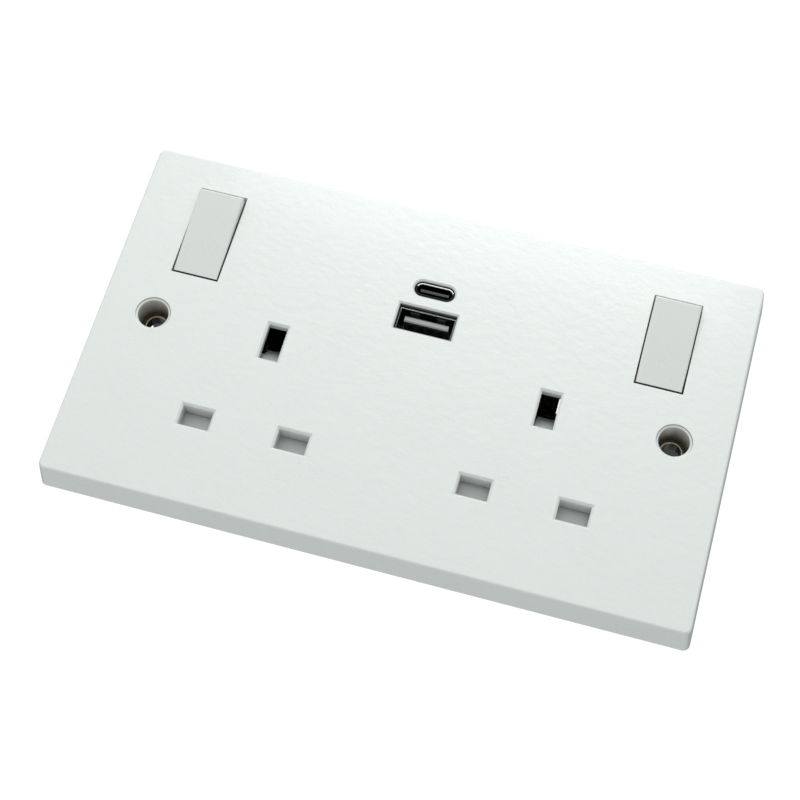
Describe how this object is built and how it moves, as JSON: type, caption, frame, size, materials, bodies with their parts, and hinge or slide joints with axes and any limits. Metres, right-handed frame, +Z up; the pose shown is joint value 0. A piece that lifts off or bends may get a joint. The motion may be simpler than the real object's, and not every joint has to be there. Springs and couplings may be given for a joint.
{
  "type": "usb wall socket",
  "caption": "White double switched wall socket with shuttered three-pin outlets, rocker switches and USB-A and USB-C charging ports.",
  "frame": {"origin": "on the wall plane, midway between the two fixing holes", "axes": "+X to the right seen from the front, +Y back into the wall, +Z up"},
  "size_m": [0.1472, 0.0379, 0.086],
  "materials": {
    "faceplate_white": "satin white urea moulding",
    "rocker_white": "satin white moulding, slightly greyer than the plate",
    "shutter_white": "matt white moulding",
    "housing_black": "matt black moulding",
    "plunger_nylon": "natural nylon",
    "spring_steel": "drawn spring wire",
    "contact_copper": "copper strip with a silver button",
    "brass_strip": "stamped brass",
    "eyelet_brass": "rolled brass",
    "block_brass": "sawn brass bar",
    "screw_steel": "zinc-plated steel",
    "shell_steel": "drawn stainless shell",
    "tongue_white": "pale moulding",
    "tongue_black": "black moulding",
    "contact_gold": "gold flash over copper",
    "board_laminate": "green circuit board",
    "core_ferrite": "sintered ferrite",
    "winding_tape": "winding under yellow tape",
    "capacitor_can": "sleeved capacitor can"
  },
  "bodies": {
    "housing": {"faceplate": "faceplate_white", "rear_housing": "housing_black", "usb_cover": "housing_black", "shutter_spring_left": "spring_steel", "shutter_spring_right": "spring_steel", "live_contact_left": "brass_strip", "live_contact_right": "brass_strip", "live_bar": "brass_strip", "neutral_bar": "brass_strip", "earth_bar": "brass_strip", "eyelet_left": "eyelet_brass", "eyelet_right": "eyelet_brass", "terminal_live": "block_brass", "terminal_neutral": "block_brass", "terminal_earth_left": "block_brass", "terminal_earth_right": "block_brass", "housing_screws": "screw_steel", "usb_a_shell": "shell_steel", "usb_c_shell": "shell_steel", "usb_a_tongue": "tongue_white", "usb_c_tongue": "tongue_black", "usb_a_contacts": "contact_gold", "usb_board": "board_laminate", "transformer_core": "core_ferrite", "transformer_winding": "winding_tape", "input_capacitors": "capacitor_can", "output_capacitor": "capacitor_can"},
    "rocker_left": {"rocker_left": "rocker_white", "plunger_spring_left": "spring_steel"},
    "plunger_left": {"plunger_left": "plunger_nylon"},
    "switch_contact_left": {"switch_contact_left": "contact_copper"},
    "shutter_left": {"shutter_left": "shutter_white"},
    "rocker_right": {"rocker_right": "rocker_white", "plunger_spring_right": "spring_steel"},
    "plunger_right": {"plunger_right": "plunger_nylon"},
    "switch_contact_right": {"switch_contact_right": "contact_copper"},
    "shutter_right": {"shutter_right": "shutter_white"},
    "terminal_screw_live": {"terminal_screw_live": "screw_steel"},
    "terminal_screw_neutral": {"terminal_screw_neutral": "screw_steel"},
    "terminal_screw_earth_left": {"terminal_screw_earth_left": "screw_steel"},
    "terminal_screw_earth_right": {"terminal_screw_earth_right": "screw_steel"}
  },
  "joints": [
    {"name": "rocker_left_rock", "type": "hinge", "parent": "housing", "child": "rocker_left", "pos_m": [-0.05425, -0.006, 0.023], "axis": [-1, 0, 0], "range_deg": [0, 14.4]},
    {"name": "contact_left_rock", "type": "hinge", "parent": "housing", "child": "switch_contact_left", "pos_m": [-0.05425, 0.00325, 0.023], "axis": [1, 0, 0], "range_deg": [0, 10]},
    {"name": "plunger_left_slide", "type": "slide", "parent": "rocker_left", "child": "plunger_left", "axis": [0, -0.9921, -0.1253], "range_m": [0, 0.001], "stiffness_N_per_m": 200, "springref_m": -0.002, "deforming": ["plunger_spring_left"]},
    {"name": "shutter_left_slide", "type": "slide", "parent": "housing", "child": "shutter_left", "axis": [0, 0, -1], "range_m": [0, 0.0056], "stiffness_N_per_m": 150, "springref_m": -0.003, "deforming": ["shutter_spring_left"]},
    {"name": "rocker_right_rock", "type": "hinge", "parent": "housing", "child": "rocker_right", "pos_m": [0.05425, -0.006, 0.023], "axis": [-1, 0, 0], "range_deg": [0, 14.4]},
    {"name": "contact_right_rock", "type": "hinge", "parent": "housing", "child": "switch_contact_right", "pos_m": [0.05425, 0.00325, 0.023], "axis": [1, 0, 0], "range_deg": [0, 10]},
    {"name": "plunger_right_slide", "type": "slide", "parent": "rocker_right", "child": "plunger_right", "axis": [0, -0.9921, -0.1253], "range_m": [0, 0.001], "stiffness_N_per_m": 200, "springref_m": -0.002, "deforming": ["plunger_spring_right"]},
    {"name": "shutter_right_slide", "type": "slide", "parent": "housing", "child": "shutter_right", "axis": [0, 0, -1], "range_m": [0, 0.0056], "stiffness_N_per_m": 150, "springref_m": -0.003, "deforming": ["shutter_spring_right"]},
    {"name": "terminal_screw_live_advance", "type": "slide", "parent": "housing", "child": "terminal_screw_live", "axis": [0, -1, 0], "range_m": [0, 0.003]},
    {"name": "terminal_screw_neutral_advance", "type": "slide", "parent": "housing", "child": "terminal_screw_neutral", "axis": [0, -1, 0], "range_m": [0, 0.003]},
    {"name": "terminal_screw_earth_left_advance", "type": "slide", "parent": "housing", "child": "terminal_screw_earth_left", "axis": [0, -1, 0], "range_m": [0, 0.003]},
    {"name": "terminal_screw_earth_right_advance", "type": "slide", "parent": "housing", "child": "terminal_screw_earth_right", "axis": [0, -1, 0], "range_m": [0, 0.003]}
  ],
  "couplings": [
    {"joint": "contact_left_rock", "follows": "rocker_left_rock", "ratio": 0.69444},
    {"joint": "contact_right_rock", "follows": "rocker_right_rock", "ratio": 0.69444}
  ]
}
